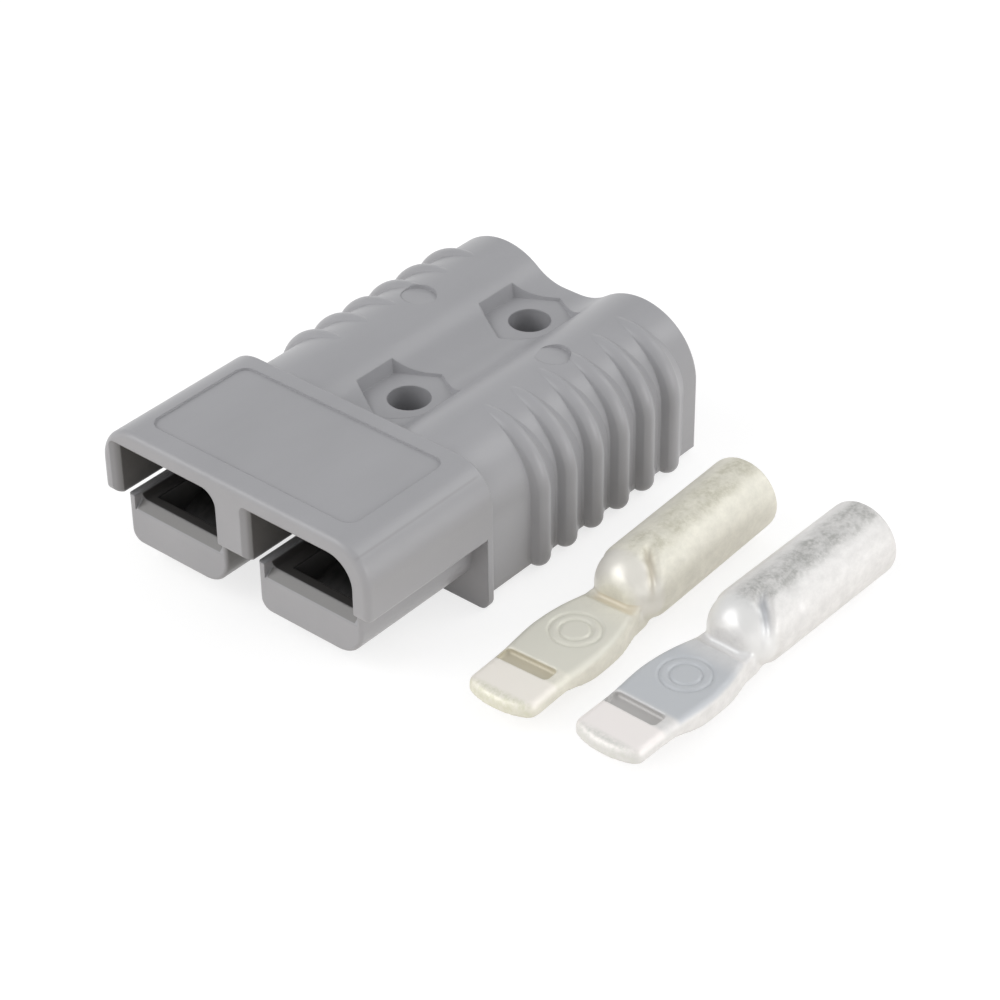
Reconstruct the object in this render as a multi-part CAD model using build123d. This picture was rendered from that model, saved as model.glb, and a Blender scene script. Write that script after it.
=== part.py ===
from build123d import *
from math import atan2, cos, degrees, radians, sin, sqrt
import os

# Two-pole genderless power connector with its two loose crimp contacts.
# Lengths are millimetres, +Z is up, and the mating face looks towards -Y.
# The origin is on the flat base, midway between the two mounting holes.

# Overall size of the housing
HOUSING_WIDTH = 45.5
HOUSING_HEIGHT = 21.25
MATING_FACE_Y = -45.36
REAR_FACE_Y = 21.44
HALF_WIDTH = HOUSING_WIDTH / 2
MID_Z = HOUSING_HEIGHT / 2

# Hood over the upper half of the mating side
HOOD_CORNER_R = 5.6
HOOD_FOOT_R = 0.7
HOOD_FRONT_FILLET = 0.9
HOOD_REAR_FILLET = 0.45
HOOD_SPLIT_GAP = 0.1
SIDE_WALL = 2.5
CENTRE_RIB = 5.2
CENTRE_RIB_SHIFT = 0.05
TOP_PLATE = 2.3
CAVITY_INNER_R = 0.9
CAVITY_OUTER_R_LEFT = 2.4
CAVITY_OUTER_R_RIGHT = 4.0
LEAD_IN = 1.0

# Collar where hood, tongues and body meet
COLLAR_FRONT_Y = -23.36
COLLAR_REAR_Y = -22.06
COLLAR_FOOT_R = 1.5

# Tongues that enter the hood of the mating connector
TONGUE_SETBACK = 1.5
TONGUE_CLEARANCE = 0.3
TONGUE_LEFT_CLEARANCE = 0.13
TONGUE_BOTTOM_Z = 3.0
TONGUE_LEFT_R = 1.8
TONGUE_RIGHT_R = 4.0
TONGUE_LIP_DROP = 0.325
TONGUE_LIP_Z = MID_Z - TONGUE_LIP_DROP
TONGUE_LIP_WALL = 1.1
TONGUE_LIP_HEIGHT = 1.0
TONGUE_FLOOR_Z = TONGUE_LIP_Z - TONGUE_LIP_HEIGHT
TONGUE_RAMP_DROP = 1.1
TONGUE_NOSE_Z = TONGUE_FLOOR_Z - TONGUE_RAMP_DROP
TONGUE_RAMP_LENGTH = 1.3
TONGUE_EDGE_R = 0.5
TROUGH_LEFT_R = 0.8
TROUGH_RIGHT_R = 2.2

# Label field on the hood, left bare
LABEL_INSET_X = 5.5
LABEL_FRONT_INSET = 3.4
LABEL_REAR_INSET = 2.5
LABEL_DEPTH = 0.3
LABEL_CORNER_R = 1.8

# Body with two round lobes, one over each cable
LOBE_X = 11.9
LOBE_R = 9.55
LOBE_TOP_STEP = 0.12
LOBE_Z = HOUSING_HEIGHT - LOBE_TOP_STEP - LOBE_R
BASE_CHAMFER = 1.2
WEB_DROP = 3.75
WEB_Z = HOUSING_HEIGHT - WEB_DROP
WEB_BLEND_R = 7.9
REAR_FILLET = 0.45

# Finger ribs down each side of the body
RIB_COUNT = 6
RIB_PITCH = 5.4
RIB_FIRST_Y = -12.3
RIB_HEIGHT = 1.6
RIB_SWEEP = 97
RIB_FOOT_Z = 0.3
RIB_FOOT_ROUND = 0.3
RIB_ROOT = 1.2
RIB_FRONT_FOOT = 1.15
RIB_FRONT_SHOULDER = 0.7
RIB_REAR_SHOULDER = 1.5
RIB_REAR_FOOT = 3.7

# Mounting holes with a hexagonal nut pocket above each
HOLE_SPACING = 24.4
HOLE_D = 5.8
POCKET_ACROSS_FLATS = 11.0
POCKET_DEPTH = 0.4
POCKET_FLOOR_Z = WEB_Z - POCKET_DEPTH
POCKET_DRAFT = 14

# Shallow round marks on top of the lobes, left bare
DISC_R = 2.4
DISC_DEPTH = 0.35
DISC_TILT = 5
DISC_Y = 2.9
DISC_X = 11.6

# Passage for one contact: cable mouth, barrel bore, blade slot and spring pocket
MOUTH_D = 13.2
MOUTH_DEPTH = 10.0
MOUTH_CHAMFER = 0.8
BARREL_BORE_D = 11.6
BARREL_BORE_FRONT_Y = -13.5
BLADE_SLOT_WIDTH = 11.4
BLADE_SLOT_RISE = 1.775
BLADE_SLOT_TOP_Z = MID_Z + BLADE_SLOT_RISE
SPRING_FLOOR_Z = 5.0
SPRING_POCKET_FRONT = 4.2

# Leaf spring under each contact
SPRING_WIDTH = 8.0
SPRING_THICK = 0.7
SPRING_END_GAP = 1.56
SPRING_FRONT_Y = MATING_FACE_Y + SPRING_POCKET_FRONT + SPRING_END_GAP
SPRING_HEEL_Y = -19.5
SPRING_TAB_Y = -17.0
SPRING_RISE = 3.0
SPRING_TAB_DEPTH = 1.7

# Crimp contact: round barrel, domed shoulder, flat blade, raised nose
BARREL_R = 5.3
BARREL_LENGTH = 24.6
BARREL_WIRE_D = 8.2
BARREL_WIRE_DEPTH = 20.5
BARREL_END_FILLET = 0.3
CONTACT_LENGTH = 53.0
SHOULDER_LENGTH = 4.3
SHOULDER_STEP = 0.3
SHOULDER_TIP_R = 2.2
SHOULDER_LEAN = 10
SHOULDER_RIM_R = 0.5
BLADE_WIDTH = 10.0
BLADE_SWELL = 0.45
BLADE_SWELL_Y = 14.4
BLADE_THICK = 3.8
TIP_THICK = 1.9
BELLY_START = 8.0
BELLY_END = 17.0
BLADE_RISE = 0.1
BLADE_EDGE_R = 1.2
NECK_WIDTH = 7.8
NECK_Y = 24.2
NECK_TAPER = 2.6
GROOVE_FRONT = 6.3
GROOVE_REAR = 8.8
GROOVE_DEPTH = 0.9
GROOVE_LEFT_RIM = 0.4
GROOVE_RIGHT_RIM = 1.9
GROOVE_CORNER_R = 0.6
NOSE_FRONT_R = 1.0
PRESS_LINE_Y = 23.7
PRESS_LINE_R = 1.7
PRESS_LINE_DEPTH = 0.45
TIP_BOW = 1.3
TIP_CORNER_R = 1.5
STAMP_OUTER_R = 3.5
STAMP_INNER_R = 2.2
STAMP_LINE = 0.35
STAMP_DEPTH = 0.15
STAMP_Y = 16.4

# Where the two loose contacts lie beside the housing
NEAR_CONTACT_X = 54.0
NEAR_CONTACT_END_Y = 13.7
NEAR_CONTACT_TURN = -0.7
FAR_CONTACT_X = 36.45
FAR_CONTACT_END_Y = 12.0
FAR_CONTACT_TURN = 2.2

LEFT = -1
RIGHT = 1


def slab(face, y_from, y_to):
    """Extrude a face drawn in the XZ plane between two Y positions."""
    return Pos(0, y_from, 0) * extrude(face, amount=y_to - y_from, dir=(0, 1, 0))


def xz_face(*edges):
    """Close a loop of edges given as (x, z) and stand it upright in XZ."""
    flat = make_face(Wire(edges))
    return Plane(origin=(0, 0, 0), x_dir=(1, 0, 0), z_dir=(0, -1, 0)) * flat


def arc(centre, radius, start, end):
    """Arc about a centre between two angles in degrees."""
    def at(angle):
        return (
            centre[0] + radius * cos(radians(angle)),
            centre[1] + radius * sin(radians(angle)),
        )
    return ThreePointArc(at(start), at((start + end) / 2), at(end))


def rounded_outline(x0, x1, z0, z1, r_bl, r_br, r_tr, r_tl):
    """Rectangle in XZ with a radius of its own at each corner."""
    corners = [
        ((x0 + r_bl, z0 + r_bl), r_bl, 180),
        ((x1 - r_br, z0 + r_br), r_br, 270),
        ((x1 - r_tr, z1 - r_tr), r_tr, 0),
        ((x0 + r_tl, z1 - r_tl), r_tl, 90),
    ]
    edges = []
    last = None
    first = None
    for centre, radius, angle in corners:
        begin = (centre[0] + radius * cos(radians(angle)), centre[1] + radius * sin(radians(angle)))
        finish = (
            centre[0] + radius * cos(radians(angle + 90)),
            centre[1] + radius * sin(radians(angle + 90)),
        )
        if last is not None:
            edges.append(Line(last, begin))
        else:
            first = begin
        if radius > 0:
            edges.append(arc(centre, radius, angle, angle + 90))
        last = finish
    edges.append(Line(last, first))
    return xz_face(*edges)


def body_outline():
    """Section of the body: flat base, two lobes and the web between them."""
    side = LOBE_X + LOBE_R
    reach = LOBE_R + WEB_BLEND_R
    blend_z = WEB_Z + WEB_BLEND_R
    blend_x = LOBE_X - sqrt(reach ** 2 - (blend_z - LOBE_Z) ** 2)
    lean = degrees(atan2(blend_z - LOBE_Z, blend_x - LOBE_X))
    right = [
        Line((0, 0), (side - BASE_CHAMFER, 0)),
        Line((side - BASE_CHAMFER, 0), (side, BASE_CHAMFER)),
        Line((side, BASE_CHAMFER), (side, LOBE_Z)),
        arc((LOBE_X, LOBE_Z), LOBE_R, 0, lean),
        arc((blend_x, blend_z), WEB_BLEND_R, lean - 180, -90),
        Line((blend_x, WEB_Z), (0, WEB_Z)),
        Line((0, WEB_Z), (0, 0)),
    ]
    half = xz_face(*right)
    return half + mirror(half, about=Plane.YZ)


def cavity_limits(side):
    """Inner and outer X of one hood cavity, left to right."""
    rib_left = CENTRE_RIB_SHIFT - CENTRE_RIB / 2
    rib_right = CENTRE_RIB_SHIFT + CENTRE_RIB / 2
    if side == LEFT:
        return -HALF_WIDTH + SIDE_WALL, rib_left
    return rib_right, HALF_WIDTH - SIDE_WALL


def hood_shell():
    """Upper mating half with the collar behind it."""
    hood = slab(
        rounded_outline(
            -HALF_WIDTH, HALF_WIDTH, MID_Z + HOOD_SPLIT_GAP, HOUSING_HEIGHT,
            HOOD_FOOT_R, HOOD_FOOT_R, HOOD_CORNER_R, HOOD_CORNER_R,
        ),
        MATING_FACE_Y, COLLAR_REAR_Y,
    )
    collar = slab(
        rounded_outline(
            -HALF_WIDTH, HALF_WIDTH, 0, HOUSING_HEIGHT,
            COLLAR_FOOT_R, COLLAR_FOOT_R, HOOD_CORNER_R, HOOD_CORNER_R,
        ),
        COLLAR_FRONT_Y, COLLAR_REAR_Y,
    )
    shell = hood + collar
    front = [
        e for e in shell.edges()
        if abs(e.center().Y - MATING_FACE_Y) < 0.01 and e.center().Z > MID_Z + 1
    ]
    shell = fillet(front, HOOD_FRONT_FILLET)
    rear = [
        e for e in shell.edges()
        if abs(e.center().Y - COLLAR_REAR_Y) < 0.01 and e.center().Z > COLLAR_FOOT_R + 1
    ]
    return fillet(rear, HOOD_REAR_FILLET)


def hood_cavity(side):
    """Space in the hood that takes the tongue of the mating connector."""
    x0, x1 = cavity_limits(side)
    outer_r = CAVITY_OUTER_R_LEFT if side == LEFT else CAVITY_OUTER_R_RIGHT
    room = slab(
        rounded_outline(
            x0, x1, MID_Z - 3, HOUSING_HEIGHT - TOP_PLATE,
            0, 0, outer_r, CAVITY_INNER_R,
        ),
        MATING_FACE_Y - 1, COLLAR_FRONT_Y,
    )
    mouth, throat = [
        Pos(0, y, 0) * rounded_outline(
            x, x0 + 4, MID_Z - 3, HOUSING_HEIGHT - TOP_PLATE, 0, 0, 0, CAVITY_INNER_R
        )
        for x, y in ((x0 - LEAD_IN, MATING_FACE_Y - 0.01), (x0, MATING_FACE_Y + LEAD_IN))
    ]
    return room + loft([mouth, throat], ruled=True)


def tongue(side):
    """Lower mating half of one pole: a trough with a sloping lip in front."""
    x0, x1 = cavity_limits(side)
    x0 += TONGUE_LEFT_CLEARANCE
    x1 -= TONGUE_CLEARANCE
    front = MATING_FACE_Y + TONGUE_SETBACK
    block = slab(
        rounded_outline(
            x0, x1, TONGUE_BOTTOM_Z, TONGUE_LIP_Z,
            TONGUE_LEFT_R, TONGUE_RIGHT_R, 0, 0,
        ),
        front, COLLAR_FRONT_Y + 0.2,
    )
    face_edges = [
        e for e in block.edges()
        if abs(e.center().Y - front) < 0.01 and e.center().Z < TONGUE_LIP_Z - 0.1
    ]
    block = fillet(face_edges, TONGUE_EDGE_R)
    trough = slab(
        rounded_outline(
            x0 + TONGUE_LIP_WALL, x1 - TONGUE_LIP_WALL / 2, TONGUE_FLOOR_Z, MID_Z + 4,
            TROUGH_LEFT_R, TROUGH_RIGHT_R, 0, 0,
        ),
        front - 1, COLLAR_FRONT_Y,
    )
    slope = TONGUE_RAMP_DROP / TONGUE_RAMP_LENGTH
    ramp_profile = Plane.YZ * make_face(Polyline(
        (front - 1, TONGUE_NOSE_Z - slope),
        (front + TONGUE_RAMP_LENGTH, TONGUE_FLOOR_Z),
        (front + TONGUE_RAMP_LENGTH, MID_Z + 4),
        (front - 1, MID_Z + 4),
        close=True,
    ))
    ramp_x0 = x0 + TONGUE_LIP_WALL
    ramp_x1 = x1 - TONGUE_LIP_WALL / 2
    ramp = Pos(ramp_x0, 0, 0) * extrude(ramp_profile, amount=ramp_x1 - ramp_x0)
    return block - trough - ramp


def rib_profile(root):
    """One finger rib seen from above: steep in front, easing off behind."""
    side = LOBE_X + LOBE_R
    base = side - root
    front_knee = (side + 0.66 * RIB_HEIGHT, -RIB_FRONT_SHOULDER)
    top = (side + RIB_HEIGHT, 0)
    rear_knee = (side + 0.72 * RIB_HEIGHT, RIB_REAR_SHOULDER)
    return make_face(Wire([
        Line((base, -RIB_FRONT_FOOT), (side, -RIB_FRONT_FOOT)),
        Line((side, -RIB_FRONT_FOOT), front_knee),
        ThreePointArc(front_knee, top, rear_knee),
        Line(rear_knee, (side, RIB_REAR_FOOT)),
        Line((side, RIB_REAR_FOOT), (base, RIB_REAR_FOOT)),
        Line((base, RIB_REAR_FOOT), (base, -RIB_FRONT_FOOT)),
    ]))


def rib(y):
    """A rib that climbs the side and runs out over the top of the lobe."""
    profile = rib_profile(RIB_ROOT)
    start_z = RIB_FOOT_Z + RIB_HEIGHT + RIB_FOOT_ROUND
    upright = Pos(0, y, start_z) * extrude(profile, amount=LOBE_Z - start_z)
    axis = Axis((LOBE_X + RIB_HEIGHT, 0, LOBE_Z), (0, -1, 0))
    over = revolve(Pos(0, y, LOBE_Z) * profile, axis=axis, revolution_arc=RIB_SWEEP)
    foot_x = LOBE_X + LOBE_R - RIB_FOOT_ROUND
    foot_axis = Axis((foot_x, 0, start_z), (0, 1, 0))
    foot = revolve(
        Pos(0, y, start_z) * rib_profile(RIB_FOOT_ROUND), axis=foot_axis, revolution_arc=90
    )
    return upright + over + foot


def rear_ribs():
    """Both rows of finger ribs."""
    row = [rib(RIB_FIRST_Y + i * RIB_PITCH) for i in range(RIB_COUNT)]
    return row + [mirror(r, about=Plane.YZ) for r in row]


def nut_pocket(y):
    """Mounting hole with its hexagonal pocket."""
    radius = POCKET_ACROSS_FLATS / 2 / cos(radians(30))
    hexagon = RegularPolygon(radius, 6, rotation=30)
    depth = HOUSING_HEIGHT - POCKET_FLOOR_Z
    pocket = Pos(0, y, POCKET_FLOOR_Z) * extrude(hexagon, amount=depth, taper=-POCKET_DRAFT)
    hole = Pos(0, y, -1) * extrude(Circle(HOLE_D / 2), amount=HOUSING_HEIGHT + 2)
    return pocket + hole


def disc_mark(side):
    """Shallow round mark in the top of a lobe, with its floor sloping down to the rear."""
    floor_z = LOBE_Z + LOBE_R - DISC_DEPTH
    cutter = extrude(Circle(DISC_R), amount=HOUSING_HEIGHT)
    return Pos(side * DISC_X, DISC_Y, floor_z) * Rot(-DISC_TILT, 0, 0) * cutter


def contact_passage(side):
    """Everything hollow behind one tongue, from the cable mouth to the lip."""
    x = side * LOBE_X
    bore = Pos(x, 0, MID_Z) * slab(
        Plane.XZ * Circle(BARREL_BORE_D / 2), BARREL_BORE_FRONT_Y, REAR_FACE_Y + 1
    )
    mouth = Pos(x, 0, MID_Z) * slab(
        Plane.XZ * Circle(MOUTH_D / 2), REAR_FACE_Y - MOUTH_DEPTH, REAR_FACE_Y + 1
    )
    flare = Pos(x, REAR_FACE_Y - MOUTH_CHAMFER / 2, MID_Z) * Rot(-90, 0, 0) * Cone(
        MOUTH_D / 2, MOUTH_D / 2 + MOUTH_CHAMFER, MOUTH_CHAMFER
    )
    half = BLADE_SLOT_WIDTH / 2
    slot = slab(
        rounded_outline(
            x - half, x + half, SPRING_FLOOR_Z, BLADE_SLOT_TOP_Z, 0.4, 0.4, 0.4, 0.4
        ),
        COLLAR_FRONT_Y - 0.5, BARREL_BORE_FRONT_Y + 1,
    )
    pocket_front = MATING_FACE_Y + SPRING_POCKET_FRONT
    pocket = slab(
        rounded_outline(
            x - half, x + half, SPRING_FLOOR_Z, MID_Z + 2, 0.4, 0.4, 0.4, 0.4
        ),
        pocket_front, COLLAR_FRONT_Y + 1,
    )
    tab_slot = Pos(x, SPRING_TAB_Y, SPRING_FLOOR_Z) * Box(
        SPRING_WIDTH + 0.4, SPRING_THICK + 0.1, 2 * (SPRING_TAB_DEPTH + 0.1)
    )
    return [bore, mouth, flare, slot, pocket, tab_slot]


def housing():
    """The one-piece moulded housing."""
    solid = hood_shell()
    body = slab(body_outline(), COLLAR_FRONT_Y + 0.5, REAR_FACE_Y)
    rim = [e for e in body.edges() if abs(e.center().Y - REAR_FACE_Y) < 0.01 and e.center().Z > LOBE_Z / 2]
    solid += fillet(rim, REAR_FILLET)
    for piece in rear_ribs():
        solid += piece
    for side in (LEFT, RIGHT):
        solid -= hood_cavity(side)
        solid += tongue(side)
    for side in (LEFT, RIGHT):
        for cut in contact_passage(side):
            solid -= cut
        solid -= disc_mark(side)
    for y in (-HOLE_SPACING / 2, HOLE_SPACING / 2):
        solid -= nut_pocket(y)
    label_front = MATING_FACE_Y + LABEL_FRONT_INSET
    label_rear = COLLAR_REAR_Y - LABEL_REAR_INSET
    label = RectangleRounded(
        HOUSING_WIDTH - 2 * LABEL_INSET_X, label_rear - label_front, LABEL_CORNER_R
    )
    middle = (label_front + label_rear) / 2
    solid -= Pos(0, middle, HOUSING_HEIGHT - LABEL_DEPTH) * extrude(label, amount=1)
    return solid


def leaf_spring(side):
    """Arched strip that lies in the tongue, with a tab that holds its heel."""
    chord = SPRING_HEEL_Y - SPRING_FRONT_Y
    radius = (chord ** 2 / 4 + SPRING_RISE ** 2) / (2 * SPRING_RISE)
    centre = ((SPRING_HEEL_Y + SPRING_FRONT_Y) / 2, SPRING_FLOOR_Z + SPRING_RISE - radius)
    spread = degrees(atan2(chord / 2, radius - SPRING_RISE))
    low = arc(centre, radius, 90 + spread, 90 - spread)
    outer = radius + SPRING_THICK
    flat_z = SPRING_FLOOR_Z + SPRING_THICK
    high_spread = degrees(atan2(sqrt(outer ** 2 - (flat_z - centre[1]) ** 2), flat_z - centre[1]))
    high = arc(centre, outer, 90 + spread, 90 - high_spread)
    tab_front = SPRING_TAB_Y - SPRING_THICK / 2
    tab_rear = SPRING_TAB_Y + SPRING_THICK / 2
    tab_foot = SPRING_FLOOR_Z - SPRING_TAB_DEPTH
    profile = Plane.YZ * make_face(Wire([
        low,
        Line(low @ 1, (tab_front, SPRING_FLOOR_Z)),
        Line((tab_front, SPRING_FLOOR_Z), (tab_front, tab_foot)),
        Line((tab_front, tab_foot), (tab_rear, tab_foot)),
        Line((tab_rear, tab_foot), (tab_rear, flat_z)),
        Line((tab_rear, flat_z), high @ 1),
        high,
        Line(high @ 0, low @ 0),
    ]))
    x = side * LOBE_X - SPRING_WIDTH / 2
    return Pos(x, 0, 0) * extrude(profile, amount=SPRING_WIDTH)


def blade_flank(side):
    """One long side of the blade: it swells behind the nose and narrows to the neck."""
    half = BLADE_WIDTH / 2
    neck = NECK_WIDTH / 2
    return Spline(
        (side * half, GROOVE_FRONT),
        (side * (half + BLADE_SWELL), BLADE_SWELL_Y),
        (side * (neck + (half - neck) * 0.44), NECK_Y - NECK_TAPER),
        (side * neck, NECK_Y),
        tangents=((0, 1), (0, 1)),
    )


def blade_plan():
    """Blade seen from above: bowed tip, swelling sides and neck."""
    half = BLADE_WIDTH / 2
    neck = NECK_WIDTH / 2
    root_y = CONTACT_LENGTH - BARREL_LENGTH
    return make_face(Wire([
        ThreePointArc((-half, TIP_BOW), (0, 0), (half, TIP_BOW)),
        Line((half, TIP_BOW), (half, GROOVE_FRONT)),
        blade_flank(RIGHT),
        Line((neck, NECK_Y), (neck, root_y)),
        Line((neck, root_y), (-neck, root_y)),
        Line((-neck, root_y), (-neck, NECK_Y)),
        blade_flank(LEFT),
        Line((-half, GROOVE_FRONT), (-half, TIP_BOW)),
    ]))


def blade_side():
    """Blade seen from the side: raised nose, catch groove and flat face."""
    face_z = BARREL_R + BLADE_RISE
    under_z = face_z - BLADE_THICK
    root_y = CONTACT_LENGTH - BARREL_LENGTH
    tip_z = face_z - TIP_THICK
    ahead = -1.0
    belly_y = (BELLY_START + BELLY_END) / 2
    belly_z = tip_z - 0.62 * (tip_z - under_z)
    outline = [
        Line((BELLY_START, tip_z), (ahead, tip_z)),
        Line((ahead, tip_z), (ahead, face_z)),
        Line((ahead, face_z), (root_y, face_z)),
        Line((root_y, face_z), (root_y, under_z)),
        Line((root_y, under_z), (BELLY_END, under_z)),
        ThreePointArc((BELLY_END, under_z), (belly_y, belly_z), (BELLY_START, tip_z)),
    ]
    return Plane.YZ * make_face(Wire(outline))


def catch_groove():
    """Pocket behind the nose that takes the nose of the mating contact."""
    left = -BLADE_WIDTH / 2 + GROOVE_LEFT_RIM
    right = BLADE_WIDTH / 2 - GROOVE_RIGHT_RIM
    floor_z = BARREL_R + BLADE_RISE - GROOVE_DEPTH
    pocket = RectangleRounded(right - left, GROOVE_REAR - GROOVE_FRONT, GROOVE_CORNER_R)
    middle = (GROOVE_FRONT + GROOVE_REAR) / 2
    return Pos((left + right) / 2, middle, floor_z) * extrude(pocket, amount=2 * GROOVE_DEPTH)


def press_line():
    """Shallow round valley across the neck, where the blade meets the shoulder."""
    axis_z = BARREL_R + BLADE_RISE + PRESS_LINE_R - PRESS_LINE_DEPTH
    return Pos(0, PRESS_LINE_Y, axis_z) * Rot(0, 90, 0) * Cylinder(PRESS_LINE_R, 2 * BLADE_WIDTH)


def blade():
    """Flat mating end of a contact, with rounded tip, nose and under edges."""
    face_z = BARREL_R + BLADE_RISE
    under_z = face_z - BLADE_THICK
    half = BLADE_WIDTH / 2
    widest = half + BLADE_SWELL
    plan = extrude(blade_plan(), amount=3 * BARREL_R)
    side = Pos(-BLADE_WIDTH, 0, 0) * extrude(blade_side(), amount=2 * BLADE_WIDTH)
    section = slab(
        rounded_outline(-widest, widest, under_z, face_z, BLADE_EDGE_R, BLADE_EDGE_R, 0, 0),
        -1, CONTACT_LENGTH,
    )
    solid = plan & side & section
    corners = [
        e for e in solid.edges()
        if abs(e.center().Y - TIP_BOW) < 0.02 and abs(e.center().X) > half - 0.1
    ]
    solid = fillet(corners, TIP_CORNER_R)
    tip_top = [
        e for e in solid.edges()
        if abs(e.center().Z - face_z) < 0.02 and e.center().Y < TIP_BOW + TIP_CORNER_R
    ]
    return fillet(tip_top, NOSE_FRONT_R) - catch_groove() - press_line()


def crimp_contact():
    """One plated contact, tip at Y = 0, lying with its barrel on the floor."""
    root_y = CONTACT_LENGTH - BARREL_LENGTH
    face_z = BARREL_R + BLADE_RISE
    barrel = slab(Plane.XZ * Circle(BARREL_R), root_y - BARREL_R, CONTACT_LENGTH)
    leaning = Pos(0, root_y, 0) * Rot(-SHOULDER_LEAN, 0, 0) * Pos(0, -2 * BARREL_R, 0) * Box(
        4 * BARREL_R, 4 * BARREL_R, 4 * BARREL_R
    )
    barrel -= leaning
    rim = [e for e in barrel.edges() if abs(e.center().Y - CONTACT_LENGTH) < 0.01]
    barrel = fillet(rim, BARREL_END_FILLET)
    shoulder_rim = [e for e in barrel.edges() if abs(e.center().Y - root_y) < 0.5]
    barrel = fillet(shoulder_rim, SHOULDER_RIM_R)
    dome_r = BARREL_R - SHOULDER_STEP
    half_dome = make_face(Wire([
        ThreePointArc(
            (SHOULDER_TIP_R, -SHOULDER_LENGTH),
            (0.86 * dome_r, -0.56 * SHOULDER_LENGTH),
            (dome_r, 0),
        ),
        Line((dome_r, 0), (dome_r, BARREL_R / 2)),
        Line((dome_r, BARREL_R / 2), (0, BARREL_R / 2)),
        Line((0, BARREL_R / 2), (0, -SHOULDER_LENGTH)),
        Line((0, -SHOULDER_LENGTH), (SHOULDER_TIP_R, -SHOULDER_LENGTH)),
    ]))
    dome = Pos(0, root_y, 0) * revolve(half_dome, axis=Axis.Y)
    contact = blade() + Pos(0, 0, BARREL_R) * (barrel + dome)
    wire = slab(
        Plane.XZ * Circle(BARREL_WIRE_D / 2),
        CONTACT_LENGTH - BARREL_WIRE_DEPTH, CONTACT_LENGTH + 1,
    )
    contact -= Pos(0, 0, BARREL_R) * wire
    rings = Circle(STAMP_OUTER_R) - Circle(STAMP_OUTER_R - STAMP_LINE)
    rings += Circle(STAMP_INNER_R) - Circle(STAMP_INNER_R - STAMP_LINE)
    contact -= Pos(0, STAMP_Y, face_z - STAMP_DEPTH) * extrude(rings, amount=1)
    return contact


def laid_contact(x, end_y, turn):
    """Turn a contact about its barrel end and put it on the floor."""
    about_end = Pos(0, -CONTACT_LENGTH, 0) * crimp_contact()
    return Pos(x, end_y, 0) * Rot(0, 0, turn) * about_end


def main():
    os.makedirs("parts", exist_ok=True)
    pieces = {
        "housing": housing(),
        "left_leaf_spring": leaf_spring(LEFT),
        "right_leaf_spring": leaf_spring(RIGHT),
        "middle_contact": laid_contact(FAR_CONTACT_X, FAR_CONTACT_END_Y, FAR_CONTACT_TURN),
        "outer_contact": laid_contact(NEAR_CONTACT_X, NEAR_CONTACT_END_Y, NEAR_CONTACT_TURN),
    }
    for name, shape in pieces.items():
        export_step(shape, f"parts/{name}.step")


main()
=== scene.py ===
import math

import bpy
import numpy as np
from mathutils import Matrix, Vector


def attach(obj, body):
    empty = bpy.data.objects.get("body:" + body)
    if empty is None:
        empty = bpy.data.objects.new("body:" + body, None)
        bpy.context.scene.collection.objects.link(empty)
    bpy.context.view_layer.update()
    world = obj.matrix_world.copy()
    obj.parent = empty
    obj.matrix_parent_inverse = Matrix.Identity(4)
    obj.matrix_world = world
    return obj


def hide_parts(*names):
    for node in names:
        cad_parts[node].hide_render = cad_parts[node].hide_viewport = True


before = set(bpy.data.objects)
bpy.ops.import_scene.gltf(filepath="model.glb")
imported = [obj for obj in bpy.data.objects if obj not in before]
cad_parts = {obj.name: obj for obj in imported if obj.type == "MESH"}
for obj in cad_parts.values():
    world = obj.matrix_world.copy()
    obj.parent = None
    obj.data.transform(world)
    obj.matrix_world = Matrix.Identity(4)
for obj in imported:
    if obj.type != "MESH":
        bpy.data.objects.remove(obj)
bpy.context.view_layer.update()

# Camera: place and nearest depth in metres, angles in degrees, lens and sensor in mm
CAMERA_PLACE = (0.219918, -0.251491, 0.232277)
CAMERA_AZIMUTH = 40.537
CAMERA_ELEVATION = 35.487
CAMERA_ROLL = -0.611
CAMERA_LENS = 108.27
CAMERA_SENSOR = 36.0
CAMERA_NEAR = 0.01

# Floor: half its width in metres, the paper that throws light up at the object, and the
# grey and the glow that together look white
FLOOR_HALF = 3.0
PAPER_COLOUR = (0.92, 0.865, 0.80)
FLOOR_GREY = (0.34, 0.34, 0.34)
FLOOR_GLOW = 0.74

# World: even light on the object, and what the eye sees of the room: white walls up to
# one height on the unit sphere, and the ceiling's level from another on
AMBIENT = 0.645
WALL_TOP = 0.2
CEILING_FROM = 0.5
CEILING_LEVEL = 0.5

# Lamps: the point that they face, and each one's direction, distance, size and power,
# in metres and watts
LAMP_TARGET = (0.012, -0.012, 0.008)
LAMPS = {
    "front": ((-0.42, -0.64, 0.58), 0.90, 0.60, 3.5),
    "right": ((0.90, 0.22, 0.22), 0.80, 0.50, 2.0),
    "rear_top": ((0.40, 0.62, 0.64), 0.80, 0.34, 0.85),
}

# Materials: shades are a darker and a lighter factor of the colour, each at a value of
# the noise, and roughness is given where the noise is 0 and where it is 1
MILLIMETRE = 0.001
EDGE_RADIUS = 0.0003
EDGE_SAMPLES = 4
HOUSING_COLOUR = (0.335, 0.335, 0.350)
HOUSING_SHADES = ((0.3, 0.95), (0.7, 1.05))
HOUSING_ROUGHNESS = (0.29, 0.36)
# The spring's colour is painted shade: steel darkened to the shade deep in the sockets
SPRING_PAINTED_SHADE = (0.11, 0.11, 0.112)
SPRING_SHADES = ((0.3, 0.85), (0.7, 1.1))
SPRING_ROUGHNESS = (0.25, 0.4)
SILVER_SHADES = ((0.34, 0.92), (0.66, 1.05))
SILVER_ROUGHNESS = (0.56, 0.44)
SILVER_METALLIC = 0.3
KNOB_GLOSS = 0.12
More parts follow.
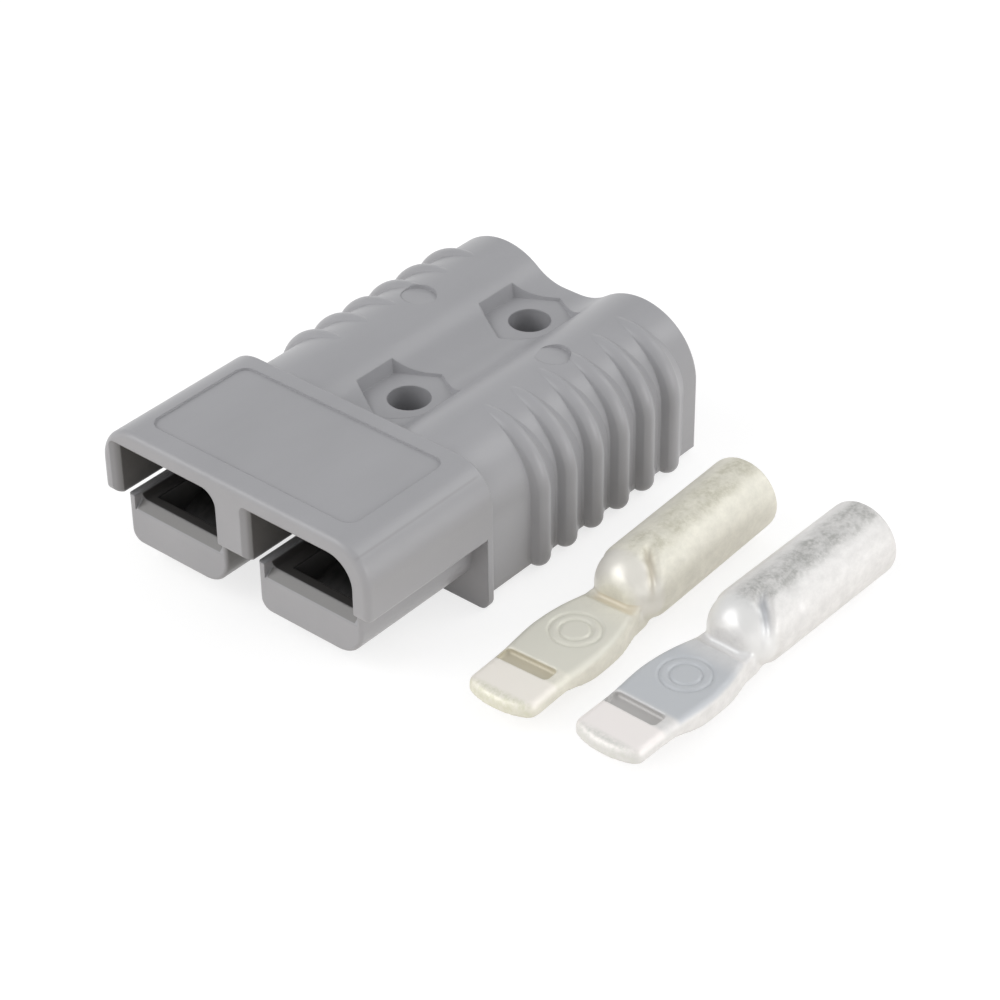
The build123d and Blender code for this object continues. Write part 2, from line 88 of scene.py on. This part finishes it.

# Colours of the zones of each material. The housing's zones are painted shade, dark tones
# deep in its sockets where shade falls: the trough floor, the hollow below it, the ramp
# under the hood, the tongues' sides in the gap between them, and the hood's inner walls
HOUSING_PAINTED_SHADES = {
    "trough_shade": (0.050, 0.048, 0.047),
    "hollow_shade": (0.15, 0.147, 0.145),
    "ramp_shade": (0.175, 0.172, 0.170),
    "gap_shade": (0.21, 0.208, 0.206),
    "hood_shade": (0.16, 0.157, 0.155),
}
# Contact colours by zone: the knob's lighter tone is a painted highlight, the neck is
# painted shade of its fold on the warm contact and a painted highlight on the cool one,
# and the crease is painted shade
WARM_SILVER_AND_PAINTED_LIGHT = {
    "barrel": (0.80, 0.78, 0.69),
    "knob": (0.81, 0.79, 0.73),
    "face": (0.73, 0.72, 0.64),
    "nose": (0.90, 0.865, 0.80),
    "catch": (0.58, 0.54, 0.43),
    "neck": (0.72, 0.665, 0.54),
    "stain": (0.58, 0.56, 0.46),
    "rim": (0.70, 0.69, 0.56),
    "crease": (0.56, 0.52, 0.43),
}
COOL_SILVER_AND_PAINTED_LIGHT = {
    "barrel": (0.75, 0.74, 0.73),
    "knob": (0.80, 0.80, 0.795),
    "face": (0.54, 0.56, 0.585),
    "nose": (0.91, 0.87, 0.85),
    "catch": (0.50, 0.49, 0.48),
    "neck": (0.76, 0.76, 0.76),
    "stain": (0.42, 0.42, 0.405),
    "rim": (0.70, 0.70, 0.66),
    "crease": (0.46, 0.47, 0.49),
}

# Length of a contact, and its end and turn as the CAD lays it, in metres and degrees
CONTACT_LENGTH = 0.053
MIDDLE_POSE = (0.03645, 0.0120, 2.2)
OUTER_POSE = (0.0540, 0.0137, -0.7)

# Shape of a contact in its own millimetres: across, along from the tip, and above the
# floor. Pairs are the start and end of a soft step.
FACE_SIZE = 0.2
AXIS_HEIGHT = 5.3
BARREL_R = 5.3
KNOB_R = 5.0
KNOB_TIP_R = 2.2
KNOB_FRONT = 24.1
KNOB_BACK = 28.4
KNOB_SEAM = 0.3
KNOB_FALL = 0.16
FALL_ALONG = (27, 31)
CREASE_START = 30.6
CREASE_LEAN = 0.9
CREASE_REACH = 4.6
CREASE_ROUND = 2.0
CREASE_DROP = 0.5
CREASE_MELT = 0.25
CREASE_DEPTH = 0.30
CREASE_WIDTH = 0.5
CREASE_SET_BACK = 0.6
# Half the width of the strip of painted shade along the crease
CREASE_SHADE_REACH = 0.8

# Where the shoulder is pressed: how far off the plain skin, along, and on the right side
# by its distance across and above the axis
SKIN_DEPTH = (0.35, 0.8)
PRESS_START = (KNOB_FRONT, KNOB_FRONT + 1.5)
PRESS_END = (33, 34)
RIGHT_ACROSS = (0.2, 1.8)
RIGHT_ABOVE = (-0.5, 2.0)
LEAST_RADIUS = 0.5

# Wear: where along the shoulder is smoothed, and how often; the same for every edge
SHOULDER_START = (24, 25.5)
SHOULDER_END = (29.5, 31.5)
SHOULDER_ROUNDS = 8
EDGE_WEAR = 0.8
EDGE_ROUNDS = 2

# Plain rings on the blade's face, which lies above a height
RING_RADII = (3.3, 2.05)
RING_PLACE = 16.4
RING_DEPTH = 0.2
RING_WIDTH = 0.2
RING_TOP = (4.8, 5.2)


def added(name, data):
    """A new object in the scene."""
    thing = bpy.data.objects.new(name, data)
    bpy.context.scene.collection.objects.link(thing)
    return thing


def blank_material(name):
    """A node material with nothing but its output, with its node tree."""
    material = bpy.data.materials.new(name)
    material.use_nodes = True
    tree = material.node_tree
    tree.nodes.clear()
    return material, tree, tree.nodes.new("ShaderNodeOutputMaterial")


def new_material(name):
    """A node material with its tree and a Principled shader."""
    material, tree, output = blank_material(name)
    shader = tree.nodes.new("ShaderNodeBsdfPrincipled")
    tree.links.new(shader.outputs["BSDF"], output.inputs["Surface"])
    return material, tree, shader


def maths(tree, operation, *values):
    """A Math node over sockets and plain numbers."""
    node = tree.nodes.new("ShaderNodeMath")
    node.operation = operation
    for socket, value in zip(node.inputs, values):
        if isinstance(value, (int, float)):
            socket.default_value = value
        else:
            tree.links.new(value, socket)
    return node.outputs[0]


def noise(tree, scale, detail, roughness, stretch=(1, 1, 1)):
    """Noise in the row frame, stretched along an axis if wanted."""
    place = tree.nodes.new("ShaderNodeTexCoord")
    mapping = tree.nodes.new("ShaderNodeMapping")
    mapping.inputs["Scale"].default_value = stretch
    texture = tree.nodes.new("ShaderNodeTexNoise")
    texture.inputs["Scale"].default_value = scale
    texture.inputs["Detail"].default_value = detail
    texture.inputs["Roughness"].default_value = roughness
    tree.links.new(place.outputs["Object"], mapping.inputs["Vector"])
    tree.links.new(mapping.outputs["Vector"], texture.inputs["Vector"])
    return texture.outputs["Fac"]


def shaded(tree, source, colour, shades):
    """Runs from a darker to a lighter shade of a colour over a value."""
    node = tree.nodes.new("ShaderNodeValToRGB")
    for element, (position, factor) in zip(node.color_ramp.elements, shades):
        element.position = position
        element.color = (*(part * factor for part in colour), 1)
    tree.links.new(source, node.inputs["Fac"])
    return node.outputs["Color"]


def spread(tree, source, low, high):
    """Maps 0..1 to low..high."""
    node = tree.nodes.new("ShaderNodeMapRange")
    node.inputs["To Min"].default_value = low
    node.inputs["To Max"].default_value = high
    tree.links.new(source, node.inputs["Value"])
    return node.outputs["Result"]


def bump(tree, source, distance, strength, normal):
    """Bump of a given depth in metres, on top of another normal."""
    node = tree.nodes.new("ShaderNodeBump")
    node.inputs["Distance"].default_value = distance
    node.inputs["Strength"].default_value = strength
    tree.links.new(source, node.inputs["Height"])
    tree.links.new(normal, node.inputs["Normal"])
    return node.outputs["Normal"]


def soft_edges(tree):
    """Normals that round off the edges by a small radius."""
    node = tree.nodes.new("ShaderNodeBevel")
    node.samples = EDGE_SAMPLES
    node.inputs["Radius"].default_value = EDGE_RADIUS
    return node.outputs["Normal"]


def local_axes(tree, origin=(0, 0), angle=0.0):
    """Millimetres along x, y and z from an origin on the floor, turned about z."""
    place = tree.nodes.new("ShaderNodeTexCoord")
    mapping = tree.nodes.new("ShaderNodeMapping")
    mapping.vector_type = "TEXTURE"
    mapping.inputs["Location"].default_value = (*origin, 0)
    mapping.inputs["Rotation"].default_value = (0, 0, angle)
    mapping.inputs["Scale"].default_value = (MILLIMETRE,) * 3
    tree.links.new(place.outputs["Object"], mapping.inputs["Vector"])
    axes = tree.nodes.new("ShaderNodeSeparateXYZ")
    tree.links.new(mapping.outputs["Vector"], axes.inputs["Vector"])
    return axes.outputs


def contact_axes(tree, pose):
    """Millimetres across, along and above a contact, measured from its tip."""
    end_x, end_y, turn = pose
    angle = math.radians(turn)
    tip_x = end_x + CONTACT_LENGTH * math.sin(angle)
    tip_y = end_y - CONTACT_LENGTH * math.cos(angle)
    return local_axes(tree, (tip_x, tip_y), angle)


def step(tree, source, start, end, low=0.0, high=1.0):
    """Soft step of a value from low to high between start and end."""
    node = tree.nodes.new("ShaderNodeMapRange")
    node.interpolation_type = "SMOOTHSTEP"
    node.inputs["From Min"].default_value = start
    node.inputs["From Max"].default_value = end
    node.inputs["To Min"].default_value = low
    node.inputs["To Max"].default_value = high
    tree.links.new(source, node.inputs["Value"])
    return node.outputs["Result"]


def product(tree, first, *others):
    """Several values multiplied."""
    for other in others:
        first = maths(tree, "MULTIPLY", first, other)
    return first


def band(tree, source, start, end, soft):
    """1 between start and end, falling off over a soft width."""
    rise = step(tree, source, start - soft, start + soft)
    fall = step(tree, source, end - soft, end + soft, 1.0, 0.0)
    return product(tree, rise, fall)


def zoned(tree, colour, values, zones, tints):
    """Tints a colour zone by zone, and gives it with the zones' masks."""
    masks = {}
    for zone, rows in zones.items():
        masks[zone] = product(tree, *(
            shape(tree, values[name], *numbers) for shape, name, *numbers in rows
        ))
        mix = tree.nodes.new("ShaderNodeMix")
        mix.data_type = "RGBA"
        tree.links.new(masks[zone], mix.inputs["Factor"])
        tree.links.new(colour, mix.inputs["A"])
        mix.inputs["B"].default_value = (*tints[zone], 1)
        colour = mix.outputs["Result"]
    return colour, masks


# Zones, each the product of its rows: a band or step, what it measures, and its numbers.
# On the housing that is side, off the middle plane, depth along y, and height, all in mm,
# and its zones are where shade is painted in the sockets.
HOUSING_SHADE_ZONES = {
    "trough_shade": (
        (band, "side", 3.3, 19.55, 0.1),
        (band, "depth", -42.5, -13.0, 0.15),
        (band, "height", 9.0, 10.0, 0.2),
    ),
    "hollow_shade": (
        (band, "side", 4.5, 18.4, 0.3),
        (band, "depth", -41.5, -13.0, 0.2),
        (band, "height", 4.0, 9.0, 0.2),
    ),
    "ramp_shade": (
        (band, "side", 4.1, 18.8, 0.1),
        (band, "depth", -43.72, -42.55, 0.08),
        (band, "height", 8.0, 9.45, 0.1),
    ),
    "gap_shade": (
        (step, "side", 3.0, 3.25, 1.0, 0.0),
        (band, "depth", -43.5, -13.0, 0.4),
        (step, "height", 9.9, 10.3, 1.0, 0.0),
    ),
    "hood_shade": (
        (band, "side", 2.2, 20.9, 0.2),
        (band, "depth", -44.75, -22.9, 0.58),
        (band, "height", 10.9, 19.8, 0.2),
    ),
}

# On a contact it is across, along and above in mm, lean, which is along the crease's
# line, and the cloud and speckle noises
SILVER_ZONES_AND_PAINTED_LIGHT = {
    # The face's own tone, fading over its last millimetres by the neck to let a lighter
    # painted highlight through
    "face": (
        (band, "along", 8.9, 22.6, 0.5),
        (step, "above", 4.6, 5.2),
        (step, "along", 19.0, 22.0, 1.0, 0.45),
    ),
    "nose": (
        (step, "along", 5.8, 6.6, 1.0, 0.0),
        (step, "above", 4.4, 5.3),
    ),
    # A lighter tone over the knob, a painted highlight; its gloss is set by the roughness
    "knob": (
        (band, "along", 24.6, 28.0, 0.6),
        (step, "above", 2.5, 4.5),
    ),
    "catch": (
        (band, "along", 6.3, 8.9, 0.12),
        (step, "across", 2.4, 3.3, 1.0, 0.0),
        (step, "above", 5.0, 5.3, 1.0, 0.0),
    ),
    # Painted light and shade of the fold at the neck: a brownish painted shade on the
    # warm contact, a lighter painted highlight on the cool one
    "neck": (
        (band, "along", 23.1, 25.0, 0.5),
        (band, "above", 4.75, 5.5, 0.15),
        (band, "across", -2.6, 3.6, 0.8),
    ),
    "stain": (
        (step, "along", 26, 30),
        (band, "across", -1.7, 2.5, 1.0),
        (step, "above", 6.5, 9.0),
        (step, "cloud", 0.36, 0.62, 0.40, 1.0),
        (step, "speckle", 0.36, 0.62, 0.45, 1.0),
    ),
    "rim": (
        (step, "along", 0.9, 2.0, 1.0, 0.0),
        (step, "speckle", 0.35, 0.65, 0.3, 1.0),
    ),
    # Painted shade in a strip along the crease behind the knob
    "crease": (
        (band, "lean", CREASE_START - CREASE_SHADE_REACH, CREASE_START + CREASE_SHADE_REACH, 0.7),
        (band, "across", 1.2, 4.0, 0.8),
        (step, "above", 4.6, 6.4),
    ),
}


def housing_plastic():
    """Moulded grey plastic: fine grain, faint flow marks, soft edges, and painted shade
    deep in the sockets.
    """
    material, tree, shader = new_material("housing_plastic")
    side, depth, height = local_axes(tree)
    values = {"side": maths(tree, "ABSOLUTE", side), "depth": depth, "height": height}
    flow = noise(tree, scale=55, detail=4, roughness=0.6, stretch=(1, 0.35, 1))
    colour = shaded(tree, flow, HOUSING_COLOUR, HOUSING_SHADES)
    # Darkens the insides of the sockets with painted shade
    colour, _ = zoned(tree, colour, values, HOUSING_SHADE_ZONES, HOUSING_PAINTED_SHADES)
    tree.links.new(colour, shader.inputs["Base Color"])
    tree.links.new(spread(tree, flow, *HOUSING_ROUGHNESS), shader.inputs["Roughness"])
    grain = noise(tree, scale=2600, detail=2, roughness=0.6)
    waves = noise(tree, scale=130, detail=2, roughness=0.4)
    skin = bump(tree, grain, distance=0.00002, strength=0.6, normal=soft_edges(tree))
    skin = bump(tree, waves, distance=0.00006, strength=0.5, normal=skin)
    tree.links.new(skin, shader.inputs["Normal"])
    return material


def silver(name, pose, tints):
    """Satin silver plating: whitish nose, darker catch, stained barrel; painted
    highlights on the knob and by the neck, painted shade in the crease and in the neck's
    fold.
    """
    material, tree, shader = new_material(name)
    across, along, above = contact_axes(tree, pose)
    values = {
        "across": across,
        "along": along,
        "above": above,
        "lean": maths(tree, "MULTIPLY_ADD", across, CREASE_LEAN, along),
        "cloud": noise(tree, scale=420, detail=3, roughness=0.55),
        "speckle": noise(tree, scale=1500, detail=4, roughness=0.7),
    }
    mottle = noise(tree, scale=700, detail=5, roughness=0.7, stretch=(1, 0.7, 1))
    colour = shaded(tree, mottle, tints["barrel"], SILVER_SHADES)
    # Tints the zones, painted highlight and painted shade on the knob, neck and crease
    # among them
    colour, masks = zoned(tree, colour, values, SILVER_ZONES_AND_PAINTED_LIGHT, tints)
    tree.links.new(colour, shader.inputs["Base Color"])
    shader.inputs["Metallic"].default_value = SILVER_METALLIC
    satin = spread(tree, mottle, *SILVER_ROUGHNESS)
    gloss = spread(tree, masks["knob"], 0.0, KNOB_GLOSS)
    tree.links.new(maths(tree, "SUBTRACT", satin, gloss), shader.inputs["Roughness"])
    lines = noise(tree, scale=900, detail=3, roughness=0.6, stretch=(1, 0.08, 1))
    dents = noise(tree, scale=420, detail=3, roughness=0.5)
    skin = bump(tree, lines, distance=0.00001, strength=0.5, normal=soft_edges(tree))
    skin = bump(tree, dents, distance=0.00004, strength=0.4, normal=skin)
    tree.links.new(skin, shader.inputs["Normal"])
    return material


def spring_steel():
    """Rolled strip, its steel colour darkened to painted shade, as it lies deep in the
    sockets' shade.
    """
    material, tree, shader = new_material("spring_steel")
    lines = noise(tree, scale=1500, detail=3, roughness=0.6, stretch=(1, 0.05, 1))
    colour = shaded(tree, lines, SPRING_PAINTED_SHADE, SPRING_SHADES)
    tree.links.new(colour, shader.inputs["Base Color"])
    shader.inputs["Metallic"].default_value = 1.0
    tree.links.new(spread(tree, lines, *SPRING_ROUGHNESS), shader.inputs["Roughness"])
    return material


def white_to_the_eye(tree):
    """1 for camera, glossy and transmission rays, 0 for light that scatters."""
    path = tree.nodes.new("ShaderNodeLightPath").outputs
    seen = maths(tree, "MAXIMUM", path["Is Camera Ray"], path["Is Glossy Ray"])
    return maths(tree, "MAXIMUM", seen, path["Is Transmission Ray"])


def build_floor():
    """Plain pale floor that looks white and keeps a faint shadow."""
    material, tree, output = blank_material("floor_paper")
    paper = tree.nodes.new("ShaderNodeBsdfDiffuse")
    paper.inputs["Color"].default_value = (*PAPER_COLOUR, 1)
    shade = tree.nodes.new("ShaderNodeBsdfDiffuse")
    shade.inputs["Color"].default_value = (*FLOOR_GREY, 1)
    glow = tree.nodes.new("ShaderNodeEmission")
    glow.inputs["Strength"].default_value = FLOOR_GLOW
    white = tree.nodes.new("ShaderNodeAddShader")
    tree.links.new(shade.outputs[0], white.inputs[0])
    tree.links.new(glow.outputs[0], white.inputs[1])
    both = tree.nodes.new("ShaderNodeMixShader")
    tree.links.new(white_to_the_eye(tree), both.inputs[0])
    tree.links.new(paper.outputs[0], both.inputs[1])
    tree.links.new(white.outputs[0], both.inputs[2])
    tree.links.new(both.outputs[0], output.inputs["Surface"])
    mesh = bpy.data.meshes.new("floor")
    h = FLOOR_HALF
    mesh.from_pydata([(-h, -h, 0), (h, -h, 0), (h, h, 0), (-h, h, 0)], [], [(0, 1, 2, 3)])
    mesh.materials.append(material)
    floor = added("floor", mesh)


def build_world():
    """Pale walls under a greyer ceiling, and a low even light to the object."""
    world = bpy.data.worlds.new("studio")
    bpy.context.scene.world = world
    world.use_nodes = True
    tree = world.node_tree
    tree.nodes.clear()
    place = tree.nodes.new("ShaderNodeTexCoord")
    axes = tree.nodes.new("ShaderNodeSeparateXYZ")
    tree.links.new(place.outputs["Generated"], axes.inputs["Vector"])
    wall = step(tree, axes.outputs["Z"], WALL_TOP, CEILING_FROM, 1.0, CEILING_LEVEL)
    room = tree.nodes.new("ShaderNodeMix")
    tree.links.new(white_to_the_eye(tree), room.inputs["Factor"])
    room.inputs["A"].default_value = AMBIENT
    tree.links.new(wall, room.inputs["B"])
    sky = tree.nodes.new("ShaderNodeBackground")
    sky.inputs["Color"].default_value = (1, 1, 1, 1)
    tree.links.new(room.outputs["Result"], sky.inputs["Strength"])
    output = tree.nodes.new("ShaderNodeOutputWorld")
    tree.links.new(sky.outputs[0], output.inputs["Surface"])


def softbox(name, direction, distance, size, power):
    """Square area lamp in a given direction from the object."""
    data = bpy.data.lights.new(name, "AREA")
    data.shape = "SQUARE"
    data.size = size
    data.energy = power
    lamp = added(name, data)
    way = Vector(direction).normalized()
    lamp.location = Vector(LAMP_TARGET) + way * distance
    lamp.rotation_euler = way.to_track_quat("Z", "Y").to_euler()


def build_camera():
    """Camera at the photograph's place, angle and lens."""
    data = bpy.data.cameras.new("camera")
    data.sensor_width = CAMERA_SENSOR
    data.lens = CAMERA_LENS
    data.clip_start = CAMERA_NEAR
    camera = added("camera", data)
    turn = Matrix.Rotation(math.radians(CAMERA_AZIMUTH), 4, "Z")
    tilt = Matrix.Rotation(math.radians(90 - CAMERA_ELEVATION), 4, "X")
    roll = Matrix.Rotation(math.radians(CAMERA_ROLL), 4, "Z")
    camera.matrix_world = Matrix.Translation(CAMERA_PLACE) @ turn @ tilt @ roll
    bpy.context.scene.camera = camera


def laid(pose):
    """From a contact's own millimetres, with its tip at the origin, to the row frame."""
    end_x, end_y, turn = pose
    return (
        Matrix.Translation((end_x, end_y, 0))
        @ Matrix.Rotation(math.radians(turn), 4, "Z")
        @ Matrix.Translation((0, -CONTACT_LENGTH, 0))
        @ Matrix.Scale(MILLIMETRE, 4)
    )


def smooth(value, start, end):
    """Soft step from 0 to 1 between start and end."""
    t = np.clip((value - start) / (end - start), 0, 1)
    return t * t * (3 - 2 * t)


def knob_radius(along):
    """Radius of the plain round shoulder."""
    share = np.clip((KNOB_BACK - along) / (KNOB_BACK - KNOB_FRONT), 0, 1)
    round_off = np.sqrt(1 - (share * math.sqrt(1 - (KNOB_TIP_R / KNOB_R) ** 2)) ** 2)
    return KNOB_R * round_off


def pressed(points):
    """Presses the shoulder: a knob whose back is set off by a leaning crease."""
    across = points[:, 0]
    along = points[:, 1]
    height = points[:, 2] - AXIS_HEIGHT
    radius = np.hypot(across, height)
    plain = np.where(along < KNOB_BACK + KNOB_SEAM, knob_radius(along), BARREL_R)
    skin = 1 - smooth(np.abs(radius - plain), *SKIN_DEPTH)
    skin *= smooth(along, *PRESS_START) * (1 - smooth(along, *PRESS_END))
    right = smooth(across, *RIGHT_ACROSS) * smooth(height, *RIGHT_ABOVE)
    knob = knob_radius(along) * (1 - KNOB_FALL * right * smooth(along, *FALL_ALONG))
    line = CREASE_START - CREASE_LEAN * np.clip(across, 0, CREASE_REACH)
    front = np.clip((line + CREASE_ROUND - along) / CREASE_ROUND, 0, 1)
    barrel = BARREL_R * np.sqrt(1 - CREASE_DROP * front ** 2)
    apart = np.sqrt((knob - barrel) ** 2 + CREASE_MELT ** 2)
    joined = 0.5 * (knob + barrel + apart) - 0.5 * CREASE_MELT
    shaped = plain + right * (np.minimum(joined, BARREL_R) - plain)
    dent = np.exp(-(((along - line - CREASE_SET_BACK) / CREASE_WIDTH) ** 2))
    shaped = shaped - CREASE_DEPTH * dent * right
    factor = 1 + skin * (shaped / np.maximum(radius, LEAST_RADIUS) - 1)
    points[:, 0] = across * factor
    points[:, 2] = AXIS_HEIGHT + height * factor
    return points


def ringed(points):
    """Sinks the two plain rings into the face."""
    radius = np.hypot(points[:, 0], points[:, 1] - RING_PLACE)
    top = smooth(points[:, 2], *RING_TOP)
    for ring in RING_RADII:
        points[:, 2] -= RING_DEPTH * top * np.exp(-(((radius - ring) / RING_WIDTH) ** 2))
    return points


def relaxed(points, edges, weight, rounds):
    """Draws each point up to half way towards the middle of its neighbours."""
    ends = np.bincount(edges.ravel(), minlength=len(points))[:, None]
    for _ in range(rounds):
        total = np.zeros_like(points)
        np.add.at(total, edges[:, 0], points[edges[:, 1]])
        np.add.at(total, edges[:, 1], points[edges[:, 0]])
        points = points + 0.5 * weight[:, None] * (total / ends - points)
    return points


def even_mesh(name, blank):
    """A mesh laid out anew in small even faces."""
    draft = added(name + "_draft", blank)
    remesh = draft.modifiers.new("even_faces", "REMESH")
    remesh.mode = "VOXEL"
    remesh.voxel_size = FACE_SIZE
    depsgraph = bpy.context.evaluated_depsgraph_get()
    mesh = bpy.data.meshes.new_from_object(draft.evaluated_get(depsgraph))
    bpy.data.objects.remove(draft)
    return mesh


def wrought_contact(name, node, pose, material):
    """A contact in fine even faces, with its shoulder pressed and its edges worn soft."""
    place = laid(pose)
    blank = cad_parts[node].data.copy()
    blank.transform(place.inverted())
    mesh = even_mesh(name, blank)
    points = np.empty(3 * len(mesh.vertices))
    mesh.vertices.foreach_get("co", points)
    edges = np.empty(2 * len(mesh.edges), dtype=np.int64)
    mesh.edges.foreach_get("vertices", edges)
    edges = edges.reshape(-1, 2)
    points = pressed(points.reshape(-1, 3))
    along = points[:, 1]
    shoulder = smooth(along, *SHOULDER_START) * (1 - smooth(along, *SHOULDER_END))
    points = relaxed(points, edges, shoulder, SHOULDER_ROUNDS)
    points = relaxed(points, edges, np.full(len(points), EDGE_WEAR), EDGE_ROUNDS)
    points = ringed(points)
    mesh.vertices.foreach_set("co", points.ravel())
    mesh.transform(place)
    mesh.polygons.foreach_set("use_smooth", [True] * len(mesh.polygons))
    mesh.materials.clear()
    mesh.materials.append(material)
    mesh.update()
    piece = added(name, mesh)
    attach(piece, "root")
    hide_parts(node)


def dress(node, material):
    """Gives every material slot of a CAD node the finished material."""
    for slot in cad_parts[node].material_slots:
        slot.link = "OBJECT"
        slot.material = material


bpy.context.scene.view_settings.view_transform = "Standard"
build_camera()
build_world()
for lamp_name, settings in LAMPS.items():
    softbox(lamp_name, *settings)
build_floor()
dress("housing", housing_plastic())
steel = spring_steel()
dress("left_leaf_spring", steel)
dress("right_leaf_spring", steel)
wrought_contact(
    "middle_crimp", "middle_contact", MIDDLE_POSE,
    silver("warm_silver", MIDDLE_POSE, WARM_SILVER_AND_PAINTED_LIGHT),
)
wrought_contact(
    "outer_crimp", "outer_contact", OUTER_POSE,
    silver("cool_silver", OUTER_POSE, COOL_SILVER_AND_PAINTED_LIGHT),
)
